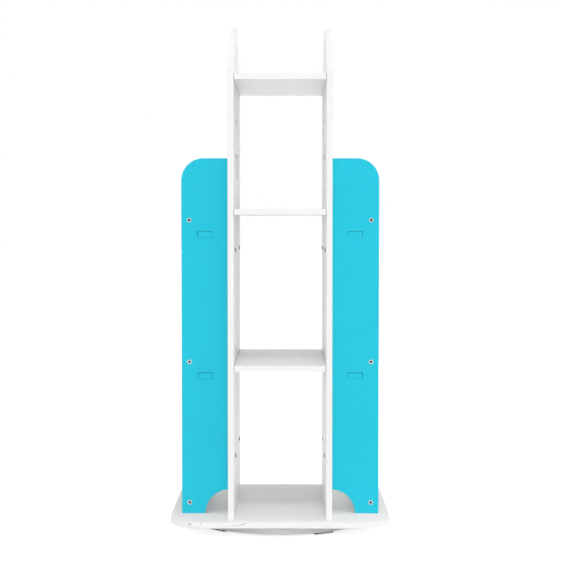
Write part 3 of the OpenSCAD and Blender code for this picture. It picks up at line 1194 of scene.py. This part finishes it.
@dataclass
class SubAssembly(ABC):
    """Pieces that ride on one body: first built, then dressed.

    Attributes:
        made: New piece, the node that it stands for and its finish.
        kept: CAD node that stays and its finish.
    """

    made: list[tuple[bpy.types.Object, str, Finish]] = field(default_factory=list, init=False)
    kept: list[tuple[str, Finish]] = field(default_factory=list, init=False)

    BODY: ClassVar[str]

    @abstractmethod
    def build(self) -> None:
        """Makes the sub-assembly's pieces."""

    def boards(
            self, nodes: tuple[str, ...], easing: Easing, finish: Finish,
            reshape: Reshape | None = None) -> None:
        """Makes an eased board for each of several nodes.

        Args:
            nodes: Names of the CAD nodes.
            easing: Radii of their edges.
            finish: Finish of the boards.
            reshape: Changes each welded solid before its edges are eased.
        """
        for node in nodes:
            self.made.append((eased_board(node, easing, finish, reshape), node, finish))

    def screws(self, nodes: tuple[str, ...], kind: ScrewKind, finish: Finish) -> None:
        """Makes the screws of each of several nodes.

        Args:
            nodes: Names of the CAD nodes.
            kind: Kind of screw.
            finish: Finish of the screws.
        """
        for node in nodes:
            self.made.append((screw_tree(kind).set_screws(node, finish), node, finish))

    def dress(self) -> None:
        """Gives each piece its body and hides the node that it stands for, and gives each kept node its
        finish.
        """
        for piece, node, finish in self.made:
            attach(piece, self.BODY)
            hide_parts(node)
            LOG.info("%s: %s, %d faces, %s", self.BODY, piece.name, len(piece.data.polygons), finish.slot)
        for node, finish in self.kept:
            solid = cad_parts[node]
            solid.data.materials.clear()
            solid.data.materials.append(finish.material())
            LOG.info("%s: %s keeps its solid, %s", self.BODY, node, finish.slot)


@dataclass
class Stand(SubAssembly):
    """Base disc on rubber feet, with the bearing's fixed ring."""

    disc_easing: Easing = Easing(1.2 * MM)
    pad_easing: Easing = Easing(0.8 * MM, slot_span=0.0, hole_span=0.0)
    pad_reach: float = 18.5 * MM

    BODY = "stand"

    def build(self) -> None:
        """Makes the disc, the feet and the ring's screws."""
        self.boards(("base_disc",), self.disc_easing, WHITE_PAINT)
        self.boards(("foot_pads",), self.pad_easing, PAD_RUBBER)
        self._cap_pads(self.made[-1][0].data)
        self.screws(("inner_ring_screws",), RING_SCREW, DARK_ZINC)
        self.kept.append(("bearing_inner_ring", RING_ALUMINIUM))

    def _cap_pads(self, mesh: bpy.types.Mesh) -> None:
        """Marks the two ends of each pad, which are capped in another colour.

        Args:
            mesh: Mesh of all the pads, each with its long side square to its radius.
        """
        middles = [sum(points, Vector()) / len(points) for points in solid_parts("foot_pads")]

        def capped(polygon: bpy.types.MeshPolygon) -> float:
            """Tells whether a face lies within a cap.

            Args:
                polygon: A face of the pads.

            Returns:
                1 if it does, else 0.
            """
            middle = min(middles, key=lambda place: (place - polygon.center).length)
            along = Vector((-middle.y, middle.x, 0.0)).normalized()
            return float(abs((polygon.center - middle).dot(along)) > self.pad_reach)

        mark_faces(mesh, CAPPED, capped)


@dataclass
class BallCage(SubAssembly):
    """Bearing balls in their retainer, which travel at about half the carousel's speed."""

    BODY = "ball_cage"

    def build(self) -> None:
        """Makes the balls, with the sizes and the number of the solids."""
        solids = solid_parts("bearing_balls")
        low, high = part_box("bearing_balls")
        ball_radius = (high.z - low.z) / 2
        balls = new_object("bearing_balls_polished", bpy.data.meshes.new("bearing_balls"))
        BallTree().grow(balls, {
            "Circle Radius": high.x - ball_radius,
            "Ball Radius": ball_radius,
            "Height": (low.z + high.z) / 2,
            "Count": len(solids),
            "Material": BALL_STEEL.material(),
        })
        self.made.append((balls, "bearing_balls", BALL_STEEL))
        self.kept.append(("ball_retainer", RETAINER_NYLON))


@dataclass
class Turntable(SubAssembly):
    """Turntable plate with the bearing's moving ring and the screws from below."""

    plate_easing: Easing = Easing(1.5 * MM)

    BODY = "carousel"

    def build(self) -> None:
        """Makes the plate and the screws in it."""
        # The plate wears the lightened copy of the white paint, which paints light on its top.
        self.boards(("turntable_plate",), self.plate_easing, LIGHTENED_PLATE_PAINT)
        self.screws(("outer_ring_screws",), RING_SCREW, DARK_ZINC)
        self.screws(("panel_screws", "foot_screws"), JOINERY_SCREW, SCREW_STEEL)
        self.kept.append(("bearing_outer_ring", RING_ALUMINIUM))


@dataclass
class Tower(SubAssembly):
    """White shelf tower: two gabled side panels and three shelves."""

    panel_easing: Easing = Easing(1.2 * MM)
    # The shelves' ends get painted shade along their seams with the panels.
    shelf_easing: Easing = Easing(1.2 * MM, seamed=True)

    BODY = "carousel"

    def build(self) -> None:
        """Makes the panels, the shelves and their screws."""
        self.boards(("left_side_panel", "right_side_panel"), self.panel_easing, WHITE_PAINT)
        self.boards(("lower_shelf", "middle_shelf", "top_shelf"), self.shelf_easing, WHITE_PAINT)
        self.screws(("shelf_screws",), JOINERY_SCREW, SCREW_STEEL)
        self.kept.append(("shelf_dowels", DOWEL_BEECH))


@dataclass
class Racks(SubAssembly):
    """Cyan wings with the ledges and lips of the book racks.

    Attributes:
        wing_easing: Edges of the wings.
        ledge_easing: Edges of the ledges, whose tenons end in slots of the wings.
        lip_easing: Edges of the lips.
        slack: How far a tenon's end stays back from the top and the outer side of its slot.
    """

    wing_easing: Easing = Easing(1.2 * MM, slot_radius=0.2 * MM)
    ledge_easing: Easing = Easing(0.25 * MM)
    lip_easing: Easing = Easing(1.0 * MM)
    slack: float = 0.5 * MM

    BODY = "carousel"
    SIDES = ("left", "right")

    def build(self) -> None:
        """Makes the wings, ledges and lips of both sides, and their screws."""
        for side in self.SIDES:
            wings = tuple(f"{face}_{side}_wing" for face in ("front", "back"))
            ledges = tuple(f"{side}_{tier}_ledge" for tier in ("lower", "upper"))
            lips = tuple(f"{side}_{tier}_lip" for tier in ("bottom", "middle", "top"))
            self.boards(wings, self.wing_easing, CYAN_PAINT)
            self.boards(ledges, self.ledge_easing, CYAN_PAINT, self._slacken)
            self.boards(lips, self.lip_easing, CYAN_PAINT)
        self.screws(("lip_screws",), JOINERY_SCREW, SCREW_STEEL)
        self.screws(("wing_screws",), WING_SCREW, BLACK_ZINC)

    def _slacken(self, ledge: bmesh.types.BMesh) -> None:
        """Draws the ends of a ledge's tenons in from the top and the outer side of their slots.

        Args:
            ledge: The ledge's welded solid.
        """
        wing_face = min(abs(corner.y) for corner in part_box("front_left_wing"))
        root = wing_face + self.slack
        for side in (-1.0, 1.0):
            everything = [*ledge.verts, *ledge.edges, *ledge.faces]
            bmesh.ops.bisect_plane(
                ledge, geom=everything, plane_co=(0.0, side * root, 0.0), plane_no=(0.0, side, 0.0))
        ends = [vert for vert in ledge.verts if abs(vert.co.y) > root + WELD_DISTANCE]
        middle = sum((vert.co for vert in ends), Vector()) / len(ends)
        for vert in ends:
            if vert.co.z > middle.z:
                vert.co.z -= self.slack
            if abs(vert.co.x) > abs(middle.x):
                vert.co.x -= math.copysign(self.slack, middle.x)
        ledge.normal_update()


@dataclass(frozen=True)
class SoftLight:
    """A soft square lamp that faces the middle of the object.

    Attributes:
        name: Its name.
        place: Where it hangs.
        side: Side of its square.
        level: How bright it makes a white surface that faces it there, where 1 is white.
        in_gloss: Whether glossy surfaces show it.
    """

    name: str
    place: Point
    side: float
    level: float
    in_gloss: bool = True

    TARGET = Vector((0.0, 0.0, 0.5))

    def hang(self) -> None:
        """Puts the lamp in the scene."""
        aim = self.TARGET - Vector(self.place)
        lamp = bpy.data.lights.new(self.name, "AREA")
        lamp.size = self.side
        lamp.energy = self.level * math.pi ** 2 * aim.length_squared
        holder = new_object(self.name, lamp)
        holder.location = self.place
        holder.rotation_euler = aim.to_track_quat("-Z", "Y").to_euler()
        holder.visible_camera = False
        holder.visible_glossy = self.in_gloss


@dataclass(frozen=True)
class PhotoCamera:
    """Camera with the photograph's standpoint and lens.

    Attributes:
        place: Where it stands.
        pitch: How far it looks down, in degrees.
        yaw: How far it is turned to the left, in degrees.
        focal_pixels: Focal length in pixels of the picture.
        frame_pixels: Side of the square picture in pixels.
    """

    place: Point = (0.016, -3.1945, 0.633)
    pitch: float = 2.28
    yaw: float = 0.25
    focal_pixels: float = 1510.0
    frame_pixels: float = 563.0

    def set_up(self) -> None:
        """Puts the camera in the scene and makes it the scene's own."""
        data = bpy.data.cameras.new("camera")
        data.lens = data.sensor_width * self.focal_pixels / self.frame_pixels
        camera = new_object("camera", data)
        camera.location = self.place
        camera.rotation_euler = (math.radians(90 - self.pitch), 0.0, math.radians(self.yaw))
        bpy.context.scene.camera = camera


@dataclass
class Studio:
    """White floor, a soft sky with a strength for each side, and a few lamps.

    Attributes:
        floor_side: Side of the floor.
        floor_drop: How far the floor lies below the feet.
        floor_colour: Grey level that the floor bounces.
        floor_lift: White that the floor adds where it is seen, so that only shadows stay darker.
        sky_sides: Sky light straight from each side, which fades away from it, by axis and sign.
        lamps: The lamps.
    """

    floor_side: float = 60.0
    floor_drop: float = 0.2 * MM
    floor_colour: float = 0.84
    floor_lift: float = 0.7
    sky_sides: tuple[tuple[str, float, float], ...] = (
        ("Y", -1.0, 0.8), ("Y", 1.0, 0.4), ("X", 1.0, 0.9), ("X", -1.0, 0.62))
    lamps: tuple[SoftLight, ...] = (
        SoftLight("front_lamp", (0.2, -3.7, 6.4), 1.2, 0.16),
        SoftLight("front_fill", (0.0, -3.6, 0.9), 0.9, 0.095, in_gloss=False),
        SoftLight("back_lamp", (0.0, 3.6, 1.1), 1.4, 0.2, in_gloss=False),
        SoftLight("right_lamp", (4.6, -0.4, 6.5), 2.0, 0.11, in_gloss=False),
        SoftLight("left_lamp", (-4.6, -0.4, 6.5), 2.0, 0.09, in_gloss=False),
    )

    def build(self) -> None:
        """Sets up the floor, the surround, the lamps and the camera."""
        self._lay_floor()
        self._surround()
        for lamp in self.lamps:
            lamp.hang()
        PhotoCamera().set_up()
        bpy.context.scene.view_settings.view_transform = "Standard"

    @staticmethod
    def _seen_directly(sketch: NodeSketch) -> Socket:
        """Tells what the camera sees, also in metal or glass.

        Args:
            sketch: Tree of the floor or the surround.

        Returns:
            The socket of a mask.
        """
        path = sketch.add("ShaderNodeLightPath").outputs
        seen = sketch.math("MAXIMUM", path["Is Camera Ray"], path["Is Glossy Ray"])
        return sketch.math("MAXIMUM", seen, path["Is Transmission Ray"])

    def _lay_floor(self) -> None:
        """Lays a pale floor that keeps the object's shadow and is clear from below."""
        half = self.floor_side / 2
        corners = [(x * half, y * half, -self.floor_drop) for x, y in ((-1, -1), (1, -1), (1, 1), (-1, 1))]
        mesh = bpy.data.meshes.new("floor")
        mesh.from_pydata(corners, [], [(0, 1, 2, 3)])
        floor = new_object("floor", mesh)
        material = bpy.data.materials.new("pale floor")
        sketch = NodeSketch(cleared_tree(material))
        matt = sketch.add("ShaderNodeBsdfDiffuse", {"Color": (self.floor_colour,) * 3})
        lift = sketch.math("MULTIPLY", self._seen_directly(sketch), self.floor_lift)
        white = sketch.add("ShaderNodeEmission", {"Strength": lift})
        both = sketch.add("ShaderNodeAddShader", {0: matt.outputs["BSDF"], 1: white.outputs["Emission"]})
        below = sketch.add("ShaderNodeNewGeometry").outputs["Backfacing"]
        clear = sketch.add("ShaderNodeBsdfTransparent")
        sides = {0: below, 1: both.outputs["Shader"], 2: clear.outputs["BSDF"]}
        surface = sketch.add("ShaderNodeMixShader", sides)
        sketch.add("ShaderNodeOutputMaterial", {"Surface": surface.outputs["Shader"]})
        mesh.materials.append(material)

    def _surround(self) -> None:
        """Makes the surround white where it is seen, and elsewhere a sky with a strength for each side."""
        world = bpy.data.worlds.new("white surround")
        sketch = NodeSketch(cleared_tree(world))
        direction = sketch.add("ShaderNodeTexCoord").outputs["Generated"]
        axes = sketch.add("ShaderNodeSeparateXYZ", {0: direction}).outputs
        sky: Socket | float = 0.0
        for axis, sign, level in self.sky_sides:
            toward = sketch.math("MULTIPLY", axes[axis], sign, clamp=True)
            sky = sketch.math("MULTIPLY_ADD", toward, level, sky)
        unseen = sketch.math("SUBTRACT", 1.0, self._seen_directly(sketch))
        strength = sketch.math("MULTIPLY_ADD", sketch.math("SUBTRACT", sky, 1.0), unseen, 1.0)
        background = sketch.add("ShaderNodeBackground", {"Color": (1.0, 1.0, 1.0), "Strength": strength})
        sketch.add("ShaderNodeOutputWorld", {"Surface": background.outputs["Background"]})
        bpy.context.scene.world = world


def main() -> None:
    """Builds and dresses the sub-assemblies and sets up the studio."""
    logging.basicConfig(level=logging.INFO, format="%(name)s: %(message)s")
    for assembly in (Stand(), BallCage(), Turntable(), Tower(), Racks()):
        assembly.build()
        assembly.dress()
    Studio().build()


if __name__ == "__main__":
    main()
